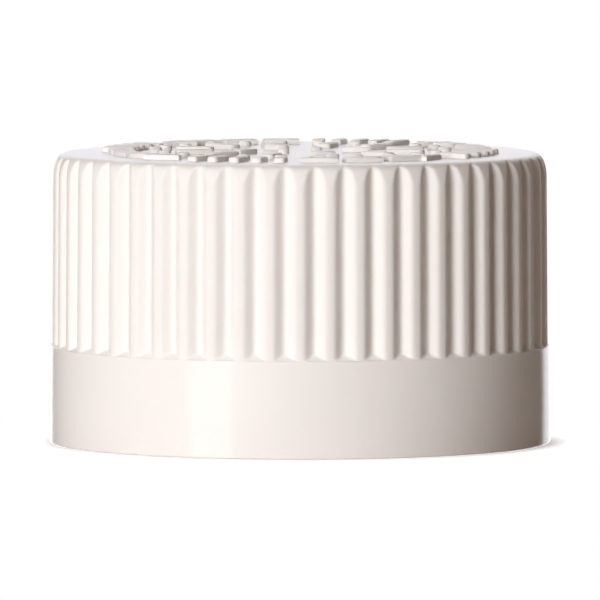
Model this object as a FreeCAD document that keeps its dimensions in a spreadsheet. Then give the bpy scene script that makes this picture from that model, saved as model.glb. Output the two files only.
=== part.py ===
import FreeCAD, Part
import Sketcher
import os

# A child-resistant closure: a ribbed outer shell over a threaded inner cap, with a star
# spring that holds the two apart and a foam liner. The shell turns idly on the inner cap
# until it is pushed down, when its lugs drop between the inner cap's teeth.
# Millimetres, +Z up. The origin is the centre of the shell's rim, which it stands on.

SIZES = (
    # Inner cap, for a 28 mm neck
    ("bore_diameter", 27.9, "bore at the root of the thread"),
    ("inner_wall", 1.2, "wall of the inner cap, at the flange round its foot"),
    ("flange_height", 1.2, "height of that flange"),
    ("flange_width", 0.2, "how far the flange stands out from the side above it"),
    ("mouth_chamfer", 0.5, "lead-in at the mouth of the bore"),
    ("panel_thickness", 1.2, "top panel of the inner cap"),
    ("shoulder_slope", 0.6, "sloped edge at the top of the inner cap"),
    ("liner_undercut", 0.2, "how far the liner's seat is cut into the bore"),
    ("liner_gap", 0.1, "liner to its seat, all round"),
    ("liner_thickness", 1.0, "foam liner"),
    # Outer shell
    ("shell_height", 19.6, "rim to top face"),
    ("band_height", 6.55, "plain band below the ribs"),
    ("skirt_gap", 0.3, "inner cap to shell, all round"),
    ("skirt_wall", 0.86, "wall of the shell at the bottom of a groove"),
    ("groove_depth", 0.5, "depth of a groove between two ribs"),
    ("rib_count", 52, "ribs round the shell"),
    ("rib_crest", 0.5, "flat width of a rib"),
    ("rib_draft", 0.08, "how much the ribs lean in towards their top"),
    ("groove_end", 0.45, "height of the slope that ends a groove at its foot"),
    ("ledge_width", 0.14, "step from the ribs out to the band"),
    ("band_flare", 0.08, "how much the band widens towards the rim"),
    ("top_wall", 1.3, "top wall of the shell"),
    ("crown_drop", 1.6, "height of the curve that draws the ribs in at the top"),
    ("crown_inset", 0.68, "how far that curve draws them in"),
    # Raised marks on the top face
    ("mark_relief", 0.35, "height of the marks"),
    ("mark_margin", 2.55, "edge of the top face to the ring of arrows and bars"),
    ("mark_ring_width", 2.3, "width of that ring"),
    ("arrow_width", 1.3, "width of a turning arrow's shaft"),
    ("spoke_gap", 2.5, "that ring to the spokes inside it"),
    ("spoke_length", 2.6, "length of a spoke"),
    # Snap bead inside the rim, which keeps the inner cap in
    ("bead_reach", 0.7, "how far the bead stands in from the shell's inside"),
    ("bead_height", 1.05, "rim to the ledge of the bead"),
    ("bead_land", 0.45, "height of the bead's straight part"),
    ("seat_gap", 0.05, "gap between pieces that rest on each other"),
    # Drive lugs under the shell and teeth on the inner cap
    ("push_travel", 1.2, "how far the shell is pushed down"),
    ("push_margin", 0.35, "what is left below the lugs when it is pushed"),
    ("lug_clearance", 0.25, "lug tips to tooth tips, not pushed"),
    ("lug_count", 12, "lugs, and as many teeth"),
    ("lug_ring_radius", 10.9, "inner end of the lugs"),
    ("lug_reach", 2.6, "length of a lug, outwards"),
    ("lug_land", 1.4, "flat width of a lug's tip"),
    ("lug_ramp", 1.3, "width of the slope on one side of a lug"),
    # Star spring round a collar in the middle of the shell
    ("collar_radius", 3.0, "outside of the collar"),
    ("collar_wall", 0.8, "wall of the collar"),
    ("collar_gap", 0.3, "spring to collar, all round"),
    ("spring_hub_width", 2.3, "width of the spring's ring"),
    ("spring_thickness", 0.5, "spring material"),
    ("finger_count", 6, "fingers of the spring"),
    ("finger_width", 2.4, "width of a finger"),
    ("finger_root", 0.8, "how far a finger runs on to the ring"),
    ("finger_radius", 9.9, "centre to a finger's tip"),
    ("finger_foot", 0.7, "flat at a finger's tip"),
)

# Radii, from the bore outwards
BORE = "(Sizes.bore_diameter / 2)"
LINER_SEAT = f"({BORE} + Sizes.liner_undercut)"
FLANGE = f"({BORE} + Sizes.inner_wall)"
INNER_SIDE = f"({FLANGE} - Sizes.flange_width)"
SHELL_INSIDE = f"({FLANGE} + Sizes.skirt_gap)"
BEAD = f"({SHELL_INSIDE} - Sizes.bead_reach)"
GROOVE_ROOT = f"({SHELL_INSIDE} + Sizes.skirt_wall)"
RIB_FOOT = f"({GROOVE_ROOT} + Sizes.groove_depth)"
RIB_TOP = f"({RIB_FOOT} - Sizes.rib_draft)"
BAND_TOP = f"({RIB_FOOT} + Sizes.ledge_width)"
BAND_FOOT = f"({BAND_TOP} + Sizes.band_flare)"
TOP_FACE = f"({RIB_TOP} - Sizes.crown_inset)"
SPRING_HOLE = "(Sizes.collar_radius + Sizes.collar_gap)"
SPRING_HUB = f"({SPRING_HOLE} + Sizes.spring_hub_width)"

# Heights above the rim
CROWN_FOOT = "(Sizes.shell_height - Sizes.crown_drop)"
LUG_HEIGHT = "(Sizes.push_travel + Sizes.push_margin - Sizes.lug_clearance)"
UNDERSIDE = "(Sizes.shell_height - Sizes.top_wall)"
LUG_TIP = f"({UNDERSIDE} - {LUG_HEIGHT})"
TOOTH_TIP = f"({LUG_TIP} - Sizes.lug_clearance)"
INNER_TOP = f"({TOOTH_TIP} - {LUG_HEIGHT})"
LINER_TOP = f"({INNER_TOP} - Sizes.panel_thickness)"
LINER_FOOT = f"({LINER_TOP} - Sizes.liner_thickness)"
INNER_FOOT = "(Sizes.bead_height + Sizes.seat_gap)"
BEAD_FOOT = "(Sizes.bead_height - Sizes.bead_land)"
SPRING_TOP = f"({UNDERSIDE} - Sizes.seat_gap)"
SPRING_FOOT = f"({INNER_TOP} + Sizes.seat_gap)"

# A groove's cutter reaches this many groove depths out, so that it comes clear of the ribs
CUTTER_DEPTHS = 1.5
CROWN_SIDES = 2

# Degrees round the top face that the marks take, in each of its like quarters
QUARTERS = 4
DASH_COUNT = 3
DASH_SWEEP = 11.5
DASH_GAP = 2.5
ARROW_HEAD_SWEEP = 10.5
BAR_COUNT = 5
BAR_START = 55.5
BAR_SWEEP = 3.5
BAR_PITCH = 6.7
SPOKE_COUNT = 3
SPOKE_SWEEP = 7.5

doc = FreeCAD.newDocument("Closure")


def make_sheet():
    sheet = doc.addObject("Spreadsheet::Sheet", "Sizes")
    for row, (name, value, meaning) in enumerate(SIZES, 1):
        sheet.set(f"A{row}", meaning)
        sheet.set(f"B{row}", str(value))
        sheet.setAlias(f"B{row}", name)
    doc.recompute()


def value_of(expression):
    """The number that an expression on the sheet stands for."""
    result = doc.Sizes.evalExpression(expression)
    return float(getattr(result, "Value", result))


def add_body(name):
    body = doc.addObject("PartDesign::Body", name)
    body.Label = name
    return body


def origin_part(body, role):
    return next(item for item in body.Origin.OriginFeatures if item.Role == role)


def add_outline(body, name, plane, corners):
    """A sketch of one closed outline. Each corner is a pair of expressions."""
    return add_outlines(body, name, plane, (corners,))


def add_outlines(body, name, plane, outlines):
    """A sketch of closed outlines of straight lines."""
    sketch = body.newObject("Sketcher::SketchObject", name)
    sketch.AttachmentSupport = (origin_part(body, plane), "")
    sketch.MapMode = "FlatFace"
    for corners in outlines:
        draw_outline(sketch, corners)
    return sketch


def draw_outline(sketch, corners):
    first = sketch.GeometryCount
    places = [FreeCAD.Vector(value_of(across), value_of(up), 0) for across, up in corners]
    for index, start in enumerate(places):
        end = places[(index + 1) % len(places)]
        sketch.addGeometry(Part.LineSegment(start, end), False)
    for index, (across, up) in enumerate(corners):
        line = first + index
        following = first + (index + 1) % len(corners)
        sketch.addConstraint(Sketcher.Constraint("Coincident", line, 2, following, 1))
        pin_to(sketch, "DistanceX", line, across)
        pin_to(sketch, "DistanceY", line, up)


def pin_to(sketch, direction, line, expression):
    """Hold the start of a line at a distance from the sketch's origin."""
    place = value_of(expression)
    number = sketch.addConstraint(Sketcher.Constraint(direction, -1, 1, line, 1, place))
    sketch.setExpression(f"Constraints[{number}]", expression)


def add_revolution(body, name, corners):
    """A solid turned from an outline of radii and heights."""
    sketch = add_outline(body, f"{name}_outline", "XZ_Plane", corners)
    revolution = body.newObject("PartDesign::Revolution", name)
    revolution.Profile = sketch
    revolution.ReferenceAxis = (sketch, ["V_Axis"])
    revolution.Angle = 360
    doc.recompute()
    return revolution


def add_pad(body, name, sketch, length, both_ways=False):
    pad = body.newObject("PartDesign::Pad", name)
    pad.Profile = sketch
    pad.setExpression("Length", length)
    if both_ways:
        pad.SideType = "Symmetric"
    doc.recompute()
    return pad


def add_ring_of(body, name, feature, count):
    """Repeat a feature evenly round the axis."""
    pattern = body.newObject("PartDesign::PolarPattern", name)
    pattern.Originals = [feature]
    pattern.Axis = (origin_part(body, "Z_Axis"), [""])
    pattern.Angle = 360
    pattern.setExpression("Occurrences", count)
    body.Tip = pattern
    doc.recompute()
    return pattern


# Outer shell

def make_shell():
    shell = add_body("outer_shell")
    add_revolution(shell, "shell_walls", shell_outline())
    cut_grooves(shell)
    end_grooves(shell)
    add_lugs(shell, "lug", UNDERSIDE, LUG_TIP, slope_side=1)
    raise_marks(shell)


def shell_outline():
    """Half the shell's section, from the middle of its underside out and over the top."""
    collar_inside = "(Sizes.collar_radius - Sizes.collar_wall)"
    return (
        ("0", UNDERSIDE),
        (collar_inside, UNDERSIDE),
        (collar_inside, LUG_TIP),
        ("Sizes.collar_radius", LUG_TIP),
        ("Sizes.collar_radius", UNDERSIDE),
        (SHELL_INSIDE, UNDERSIDE),
        (SHELL_INSIDE, "Sizes.bead_height"),
        (BEAD, "Sizes.bead_height"),
        (BEAD, BEAD_FOOT),
        (SHELL_INSIDE, "0"),
        (BAND_FOOT, "0"),
        (BAND_TOP, "Sizes.band_height"),
        (RIB_FOOT, "Sizes.band_height"),
        *crown_corners(),
        ("0", "Sizes.shell_height"),
    )


def crown_corners():
    """The curve from the ribs in to the top face, steeper at its foot, in straight sides."""
    corners = []
    for side in range(CROWN_SIDES + 1):
        up = side / CROWN_SIDES
        radius = f"({RIB_TOP} - Sizes.crown_inset * {up**2})"
        corners.append((radius, f"({CROWN_FOOT} + Sizes.crown_drop * {up})"))
    return corners


def cut_grooves(shell):
    """The V-shaped grooves between the ribs, from the ledge up until the crown ends them."""
    pitch = f"(2 * pi * {RIB_FOOT} / Sizes.rib_count)"
    half_width = f"({CUTTER_DEPTHS} * ({pitch} - Sizes.rib_crest) / 2)"
    mouth = f"({GROOVE_ROOT} + {CUTTER_DEPTHS} * Sizes.groove_depth)"
    corners = ((GROOVE_ROOT, "0"), (mouth, f"-{half_width}"), (mouth, half_width))
    half_pitch = "(180 deg / Sizes.rib_count)"
    sketch = add_outline(shell, "groove_section", "XY_Plane", corners)
    sketch.setExpression("AttachmentOffset.Base.z", "Sizes.band_height")
    sketch.setExpression("AttachmentOffset.Rotation.Angle", half_pitch)
    groove = shell.newObject("PartDesign::Pocket", "groove")
    groove.Profile = sketch
    groove.Reversed = True
    groove.UseCustomVector = True
    # The grooves lean in with the ribs
    groove.setExpression("Direction.x", f"Sizes.rib_draft * cos({half_pitch})")
    groove.setExpression("Direction.y", f"Sizes.rib_draft * sin({half_pitch})")
    groove.setExpression("Direction.z", f"-({CROWN_FOOT} - Sizes.band_height)")
    groove.setExpression("Length", "Sizes.shell_height")
    doc.recompute()
    add_ring_of(shell, "grooves", groove, "Sizes.rib_count")


def end_grooves(shell):
    """A cone round the foot of the ribs, which closes each groove with a slope."""
    inside = f"({GROOVE_ROOT} - Sizes.skirt_wall / 2)"
    below = "(Sizes.band_height - Sizes.groove_end)"
    rise = f"(Sizes.groove_end * ({RIB_FOOT} - {inside}) / Sizes.groove_depth)"
    add_revolution(shell, "groove_ends", (
        (inside, below),
        (RIB_FOOT, below),
        (RIB_FOOT, "Sizes.band_height"),
        (inside, f"(Sizes.band_height + {rise})"),
    ))


def add_lugs(body, name, root, tip, slope_side):
    """A ring of lugs, each upright on one side and sloped on the other."""
    across = (
        f"({-slope_side} * Sizes.lug_land / 2)",
        f"({slope_side} * Sizes.lug_land / 2)",
        f"({slope_side} * (Sizes.lug_land / 2 + Sizes.lug_ramp))",
    )
    corners = ((across[0], root), (across[0], tip), (across[1], tip), (across[2], root))
    sketch = add_outline(body, f"{name}_section", "YZ_Plane", corners)
    sketch.setExpression("AttachmentOffset.Base.z", "Sizes.lug_ring_radius")
    lug = add_pad(body, name, sketch, "Sizes.lug_reach")
    add_ring_of(body, f"{name}_ring", lug, "Sizes.lug_count")


def raise_marks(shell):
    """Plain marks on the top face, where such caps are lettered."""
    outlines = (*arrow_outlines(), *bar_outlines(), *spoke_outlines())
    sketch = add_outlines(shell, "marks_outline", "XY_Plane", outlines)
    sketch.setExpression("AttachmentOffset.Base.z", "Sizes.shell_height")
    marks = add_pad(shell, "marks", sketch, "Sizes.mark_relief")
    add_ring_of(shell, "mark_quarters", marks, str(QUARTERS))


def arrow_outlines():
    """An arrow with a broken shaft, which points the way that the cap opens."""
    middle = f"({TOP_FACE} - Sizes.mark_margin - Sizes.mark_ring_width / 2)"
    inside = f"({middle} - Sizes.arrow_width / 2)"
    outside = f"({middle} + Sizes.arrow_width / 2)"
    step = DASH_SWEEP + DASH_GAP
    last = (DASH_COUNT - 1) * step
    neck = last + DASH_SWEEP
    outlines = [block(inside, outside, dash * step, DASH_SWEEP) for dash in range(DASH_COUNT - 1)]
    outlines.append((
        polar(outside, last),
        polar(outside, neck),
        polar(f"({middle} + Sizes.mark_ring_width / 2)", neck),
        polar(middle, neck + ARROW_HEAD_SWEEP),
        polar(f"({middle} - Sizes.mark_ring_width / 2)", neck),
        polar(inside, neck),
        polar(inside, last),
    ))
    return outlines


def bar_outlines():
    outside = f"({TOP_FACE} - Sizes.mark_margin)"
    inside = f"({outside} - Sizes.mark_ring_width)"
    return [block(inside, outside, BAR_START + bar * BAR_PITCH, BAR_SWEEP) for bar in range(BAR_COUNT)]


def spoke_outlines():
    outside = f"({TOP_FACE} - Sizes.mark_margin - Sizes.mark_ring_width - Sizes.spoke_gap)"
    inside = f"({outside} - Sizes.spoke_length)"
    pitch = 360 / QUARTERS / SPOKE_COUNT
    start = (pitch - SPOKE_SWEEP) / 2
    return [block(inside, outside, start + spoke * pitch, SPOKE_SWEEP) for spoke in range(SPOKE_COUNT)]


def block(inside, outside, start, sweep):
    """A block between two radii and two angles."""
    return (
        polar(inside, start),
        polar(outside, start),
        polar(outside, start + sweep),
        polar(inside, start + sweep),
    )


def polar(radius, degrees):
    return f"({radius} * cos({degrees} deg))", f"({radius} * sin({degrees} deg))"


# Inner cap and its liner

def make_inner_cap():
    cap = add_body("inner_cap")
    flange_top = f"({INNER_FOOT} + Sizes.flange_height)"
    add_revolution(cap, "cap_walls", (
        ("0", LINER_TOP),
        (LINER_SEAT, LINER_TOP),
        (LINER_SEAT, LINER_FOOT),
        (BORE, LINER_FOOT),
        (BORE, f"({INNER_FOOT} + Sizes.mouth_chamfer)"),
        (f"({BORE} + Sizes.mouth_chamfer)", INNER_FOOT),
        (FLANGE, INNER_FOOT),
        (FLANGE, flange_top),
        (INNER_SIDE, flange_top),
        (INNER_SIDE, f"({INNER_TOP} - Sizes.shoulder_slope)"),
        (f"({INNER_SIDE} - Sizes.shoulder_slope)", INNER_TOP),
        ("0", INNER_TOP),
    ))
    add_lugs(cap, "tooth", INNER_TOP, TOOTH_TIP, slope_side=-1)
    # Half a pitch round, so that each tooth stands between two lugs
    cap.setExpression("Placement.Rotation.Angle", "180 deg / Sizes.lug_count")


def make_liner():
    liner = doc.addObject("Part::Cylinder", "liner")
    liner.Label = "liner"
    liner.setExpression("Radius", f"{LINER_SEAT} - Sizes.liner_gap")
    liner.setExpression("Height", "Sizes.liner_thickness")
    liner.setExpression("Placement.Base.z", LINER_FOOT)


# Star spring

def make_spring():
    spring = add_body("star_spring")
    hub_foot = f"({SPRING_TOP} - Sizes.spring_thickness)"
    add_revolution(spring, "spring_hub", (
        (SPRING_HOLE, hub_foot),
        (SPRING_HUB, hub_foot),
        (SPRING_HUB, SPRING_TOP),
        (SPRING_HOLE, SPRING_TOP),
    ))
    finger_start = f"({SPRING_HUB} - Sizes.finger_root)"
    tip_top = f"({SPRING_FOOT} + Sizes.spring_thickness)"
    sketch = add_outline(spring, "finger_side", "XZ_Plane", (
        (finger_start, hub_foot),
        (SPRING_HUB, hub_foot),
        ("Sizes.finger_radius - Sizes.finger_foot", SPRING_FOOT),
        ("Sizes.finger_radius", SPRING_FOOT),
        ("Sizes.finger_radius", tip_top),
        ("Sizes.finger_radius - Sizes.finger_foot", tip_top),
        (SPRING_HUB, SPRING_TOP),
        (finger_start, SPRING_TOP),
    ))
    finger = add_pad(spring, "finger", sketch, "Sizes.finger_width", both_ways=True)
    add_ring_of(spring, "fingers", finger, "Sizes.finger_count")


NODES = ("outer_shell", "inner_cap", "liner", "star_spring")


def check_document():
    for item in doc.Objects:
        if "Invalid" in item.State or "Error" in item.State:
            raise RuntimeError(f"{item.Label} failed: {item.State}")
    for name in NODES:
        shape = doc.getObject(name).Shape
        if shape.isNull() or not shape.isValid():
            raise RuntimeError(f"{name} is not a valid solid")
        print(f"{name}: {len(shape.Solids)} solid, {shape.Volume:.1f} mm3, {len(shape.Faces)} faces")


def write_nodes():
    os.makedirs("parts", exist_ok=True)
    for name in NODES:
        doc.getObject(name).Shape.exportStep(f"parts/{name}.step")


make_sheet()
make_shell()
make_inner_cap()
make_liner()
make_spring()
doc.recompute()
check_document()
write_nodes()
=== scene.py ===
import math

import bmesh
import bpy
from mathutils import Matrix, Vector


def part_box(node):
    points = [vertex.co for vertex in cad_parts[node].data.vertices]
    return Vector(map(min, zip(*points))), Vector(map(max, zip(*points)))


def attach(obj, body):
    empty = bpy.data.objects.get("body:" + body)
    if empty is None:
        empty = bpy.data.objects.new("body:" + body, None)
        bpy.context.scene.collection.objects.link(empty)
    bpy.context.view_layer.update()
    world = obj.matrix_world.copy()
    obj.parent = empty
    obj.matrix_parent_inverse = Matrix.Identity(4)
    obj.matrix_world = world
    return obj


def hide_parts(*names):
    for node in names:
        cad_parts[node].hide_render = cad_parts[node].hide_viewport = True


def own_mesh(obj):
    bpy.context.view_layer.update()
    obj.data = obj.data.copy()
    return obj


bl_info = {
    "name": "Push-and-turn closure",
    "version": (1, 0, 0),
    "blender": (4, 5, 0),
    "location": "View3D > Sidebar > Closure",
    "description": "Models a child-resistant bottle closure with its inner cap, spring and liner",
    "category": "Mesh",
}

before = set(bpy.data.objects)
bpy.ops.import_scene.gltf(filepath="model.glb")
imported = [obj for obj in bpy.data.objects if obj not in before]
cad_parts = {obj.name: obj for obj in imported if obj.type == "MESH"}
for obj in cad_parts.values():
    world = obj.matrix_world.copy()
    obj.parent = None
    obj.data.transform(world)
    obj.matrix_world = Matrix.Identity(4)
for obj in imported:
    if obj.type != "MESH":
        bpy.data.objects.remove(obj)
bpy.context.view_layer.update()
SHELL_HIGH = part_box("outer_shell")[1]
INNER_LOW, INNER_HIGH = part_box("inner_cap")
LINER_LOW, LINER_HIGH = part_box("liner")
SPRING_LOW, SPRING_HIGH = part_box("star_spring")

MM = 0.001
ANTICLOCKWISE = (0, 0, -1)  # the axis that makes a spin turn that way, seen from above
RELIEF = 0.35  # mm that the raised marks stand above the top face
TOP_FACE = SHELL_HIGH.z - RELIEF * MM


def from_hex(code):
    """Linear red, green and blue of an sRGB colour such as #F2EEE9."""
    parts = [int(code[i:i + 2], 16) / 255 for i in (1, 3, 5)]
    return tuple(p / 12.92 if p <= 0.04045 else ((p + 0.055) / 1.055) ** 2.4 for p in parts)


def length(name, description, default):
    """A length property in metres, whose default is given in millimetres."""
    return bpy.props.FloatProperty(
        name=name, description=description, default=default * MM,
        min=0, unit="LENGTH", subtype="DISTANCE", precision=5,
    )


def colour(name, description, code):
    return bpy.props.FloatVectorProperty(
        name=name, description=description, default=from_hex(code),
        size=3, min=0, max=1, subtype="COLOR",
    )


# What a user can change

class ShellSizes(bpy.types.PropertyGroup):
    rib_count: bpy.props.IntProperty(
        name="Ribs", description="Ribs round the shell", default=52, min=8, max=120)
    rib_foot_radius: length("Rib radius", "Axis to a rib's crest, at the ledge", 16.81)
    rib_draft: length("Rib draft", "How much the ribs lean in up to the crown", 0.08)
    rib_depth: length("Rib depth", "Crest to where the flanks of a groove would meet", 0.6)
    crest_width: length("Crest width", "Width of a rib's crest, before it is rounded", 0.66)
    crest_radius: length("Crest rounding", "Radius of the corners of the crest", 0.5)
    groove_radius: length("Groove rounding", "Radius of the bottom of a groove", 0.35)
    groove_end: length("Groove end", "Height of the slope at a groove's foot", 0.45)
    band_height: length("Band height", "Plain band below the ribs", 6.55)
    band_top_radius: length("Band radius", "Axis to the band, at the ledge", 16.95)
    crown_drop: length("Crown height", "Height of the curve that draws the ribs in", 1.6)
    crown_radius: length("Crown radius", "Radius of that curve", 3.0)
    corner: length("Corner radius", "Rounding from that curve into the top face", 0.72)
    rim_rounding: length("Rim rounding", "Rounding of the rim's outer edge", 0.15)
    inside_radius: length("Inside radius", "Axis to the shell's inside", 15.45)
    bead_radius: length("Bead radius", "Axis to the snap bead", 14.75)
    bead_foot: length("Bead foot", "Rim to the foot of the bead's face", 0.6)
    bead_height: length("Bead height", "Rim to the ledge of the bead", 1.05)
    top_wall: length("Top wall", "Thickness of the top", 1.3)
    collar_radius: length("Collar radius", "Outside of the collar that centres the spring", 3.0)
    collar_wall: length("Collar wall", "Wall of that collar", 0.8)


class LugSizes(bpy.types.PropertyGroup):
    count: bpy.props.IntProperty(
        name="Lugs", description="Drive lugs, and as many teeth", default=12, min=3, max=24)
    height: length("Lug height", "Height of a lug or tooth", 1.3)
    ring_radius: length("Ring radius", "Axis to the inner end of a lug", 10.9)
    reach: length("Reach", "Length of a lug, outwards", 2.6)
    land: length("Land", "Flat width of a lug's tip", 1.4)
    ramp: length("Ramp", "Width of the slope on one side of a lug", 1.3)
    rounding: length("Rounding", "Rounding of a lug's edges", 0.1)


class MarkSizes(bpy.types.PropertyGroup):
    relief: length("Relief", "Height of the raised marks", RELIEF)
    ring_radius: length("Ring radius", "Axis to the middle of the ring of arrows and bars", 12.35)
    ring_width: length("Ring width", "Width of that ring", 2.3)
    shaft_width: length("Shaft width", "Width of a turning arrow's shaft", 1.3)
    bar_width: length("Bar width", "Width of a bar", 0.76)
    spoke_radius: length("Spoke radius", "Axis to the middle of a spoke", 7.4)
    spoke_length: length("Spoke length", "Length of a spoke", 2.6)
    spoke_width: length("Spoke width", "Width of a spoke", 0.97)
    rounding: length("Rounding", "Rounding of the marks' upper edges", 0.13)


class InnerCapSizes(bpy.types.PropertyGroup):
    bore_radius: length("Bore radius", "Axis to the root of the thread", 13.95)
    thread_reach: length("Thread depth", "How far the thread ridge stands in", 1.1)
    thread_pitch: length("Thread pitch", "Rise of the thread in one turn", 4.23)
    thread_turns: bpy.props.FloatProperty(
        name="Thread turns", description="Turns of the thread ridge", default=1.4, min=0.5, max=2.5)
    thread_start: length("Thread start", "Rim of the shell to the start of the ridge", 3.6)
    flange_height: length("Flange height", "Height of the flange round its foot", 1.2)
    flange_width: length("Flange width", "How far the flange stands out", 0.2)
    shoulder: length("Shoulder", "Rounding of the top edge", 0.6)
    liner_seat: length("Liner seat", "How far the liner's seat is cut into the bore", 0.2)


class SpringSizes(bpy.types.PropertyGroup):
    hole_radius: length("Hole radius", "Axis to the hole in the spring's ring", 3.3)
    hub_radius: length("Ring radius", "Axis to the outside of the spring's ring", 5.6)
    thickness: length("Thickness", "Thickness of the spring's material", 0.5)
    fingers: bpy.props.IntProperty(
        name="Fingers", description="Fingers of the spring", default=6, min=3, max=12)
    finger_width: length("Finger width", "Width of a finger", 2.4)
    finger_foot: length("Finger foot", "Flat at a finger's tip", 0.7)
    travel: length("Travel", "How far the shell pushes the spring together", 1.2)


class Finishes(bpy.types.PropertyGroup):
    shell: colour("Shell", "Warm white polypropylene of the shell", "#F4F0EC")
    inner: colour("Inner cap", "White polypropylene of the inner cap", "#EAE7E2")
    spring: colour("Spring", "Natural, milky polymer of the spring", "#E6E6E0")
    liner: colour("Liner", "White foam of the liner", "#F0F0EE")


class StageSizes(bpy.types.PropertyGroup):
    distance: length("Camera distance", "Camera to the object", 850)
    aim_height: length("Aim height", "Height that the camera looks at", 9.6)
    elevation: bpy.props.FloatProperty(
        name="Elevation", description="Camera's angle above the horizon",
        default=math.radians(3.6), subtype="ANGLE")
    lens: bpy.props.FloatProperty(
        name="Lens", description="Focal length on a 36 mm sensor", default=751.5, unit="CAMERA")


# Modelling by hand, in code

def clear_selection():
    """Leave edit mode, and select nothing."""
    if bpy.context.object and bpy.context.object.mode != "OBJECT":
        bpy.ops.object.mode_set(mode="OBJECT")
    bpy.ops.object.select_all(action="DESELECT")


def pick(piece):
    """Leave edit mode, and select this piece alone."""
    clear_selection()
    bpy.context.view_layer.objects.active = piece
    piece.select_set(True)


def edit(piece):
    pick(piece)
    bpy.ops.object.mode_set(mode="EDIT")


def leave_edit():
    bpy.ops.object.mode_set(mode="OBJECT")


def started(name, scale=None):
    """Name the primitive that was just added, scale it, and apply where and how it lies."""
    piece = bpy.context.object
    piece.name = name
    piece.data.name = name
    if scale:
        bpy.ops.transform.resize(value=scale)
    bpy.ops.object.transform_apply(location=True, rotation=True, scale=True)
    return piece


def choose(piece, kind, test):
    """In edit mode, select only the vertices, edges or faces that pass the test."""
    mesh = bmesh.from_edit_mesh(piece.data)
    mesh.select_mode = {kind[:-1].upper() if kind != "vertices" else "VERT"}
    bpy.context.tool_settings.mesh_select_mode = (
        kind == "vertices", kind == "edges", kind == "faces")
    for item in (*mesh.verts, *mesh.edges, *mesh.faces):
        item.select = False
    items = {"vertices": mesh.verts, "edges": mesh.edges, "faces": mesh.faces}[kind]
    found = [item for item in items if test(item)]
    for item in found:
        item.select_set(True)
    bmesh.update_edit_mesh(piece.data)
    if not found:
        raise RuntimeError(f"{piece.name}: no {kind} to select")


def place_corners(piece, places):
    """In edit mode, move the first vertices to these places."""
    mesh = bmesh.from_edit_mesh(piece.data)
    for vertex, place in zip(mesh.verts, places):
        vertex.co = place
    bmesh.update_edit_mesh(piece.data)


def middle(item):
    """The middle of an edge or face."""
    points = [v.co for v in item.verts]
    return sum(points, Vector()) / len(points)


def radius_of(point):
    return math.hypot(point[0], point[1])


def is_level(edge):
    return abs(edge.verts[0].co.z - edge.verts[1].co.z) < 1e-7


def is_upright(edge):
    return abs(edge.verts[0].co.z - edge.verts[1].co.z) > 1e-5


def is_open(edge):
    return edge.is_boundary


def level_loop(height, within=1e-6):
    """A test for the open edges that lie at one height."""
    return lambda edge: edge.is_boundary and all(abs(v.co.z - height) < within for v in edge.verts)


def draw_loops(places, now):
    """Extrude the selected round loop of edges through radii and heights, as on a lathe."""
    for radius, height in places:
        bpy.ops.mesh.extrude_edges_move(
            TRANSFORM_OT_translate={"value": (0, 0, height - now[1])})
        share = radius / now[0]
        bpy.ops.transform.resize(value=(share, share, 1), center_override=(0, 0, height))
        now = (radius, height)


def arc(centre, radius, start, end, steps):
    """Radii and heights on an arc of an outline, without its first point. Angles in degrees."""
    places = []
    for step in range(1, steps + 1):
        angle = math.radians(start + (end - start) * step / steps)
        places.append((centre[0] + radius * math.cos(angle), centre[1] + radius * math.sin(angle)))
    return places


def lathe(name, places, steps, angle=2 * math.pi, start=0):
    """A surface turned from an outline of radii and heights that begins and ends at the axis."""
    clear_selection()
    bpy.ops.mesh.primitive_plane_add(size=MM)
    piece = started(name)
    edit(piece)
    bpy.ops.mesh.delete(type="ONLY_FACE")
    choose(piece, "vertices", lambda v: v.index > 0)
    bpy.ops.mesh.delete(type="VERT")
    place_corners(piece, [polar(places[0], start)])
    bpy.ops.mesh.select_all(action="SELECT")
    for before, after in zip(places, places[1:]):
        step = polar(after, start) - polar(before, start)
        bpy.ops.mesh.extrude_vertices_move(TRANSFORM_OT_translate={"value": step})
    bpy.ops.mesh.select_all(action="SELECT")
    bpy.ops.mesh.spin(steps=steps, angle=angle, center=(0, 0, 0), axis=ANTICLOCKWISE)
    bpy.ops.mesh.select_all(action="SELECT")
    bpy.ops.mesh.remove_doubles(threshold=1e-7)
    return piece


def polar(place, angle):
    radius, height = place
    return Vector((radius * math.cos(angle), radius * math.sin(angle), height))


def apply_modifier(piece, kind, **settings):
    pick(piece)
    modifier = piece.modifiers.new(kind.lower(), kind)
    for name, value in settings.items():
        setattr(modifier, name, value)
    bpy.ops.object.modifier_apply(modifier=modifier.name)


def combine(piece, other, operation):
    """Join, cut or intersect a piece with another, which is used up."""
    apply_modifier(piece, "BOOLEAN", object=other, operation=operation, solver="EXACT")
    remove(other)


def remove(piece):
    mesh = piece.data
    bpy.data.objects.remove(piece)
    bpy.data.meshes.remove(mesh)


def repeat_round(count, whole=2 * math.pi):
    """In edit mode, copy all of the mesh round the axis, so that there are count in all."""
    bpy.ops.mesh.select_all(action="SELECT")
    bpy.ops.mesh.spin(
        steps=count - 1, dupli=True, angle=whole * (count - 1) / count,
        center=(0, 0, 0), axis=ANTICLOCKWISE)


def settle():
    """Turn the normals outwards, and leave edit mode."""
    bpy.ops.mesh.select_all(action="SELECT")
    bpy.ops.mesh.normals_make_consistent(inside=False)
    leave_edit()


def close_up(piece):
    """Close each open loop of edges with a face, and leave edit mode."""
    choose(piece, "edges", is_open)
    bpy.ops.mesh.edge_face_add()
    settle()


def bevel(width, segments):
    """In edit mode, round the selected edges."""
    bpy.ops.mesh.bevel(offset=width, segments=segments, affect="EDGES", clamp_overlap=True)


def turn(piece, angle):
    """Turn a mesh about the cap's axis, anticlockwise seen from above."""
    piece.data.transform(Matrix.Rotation(angle, 4, "Z"))


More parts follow.
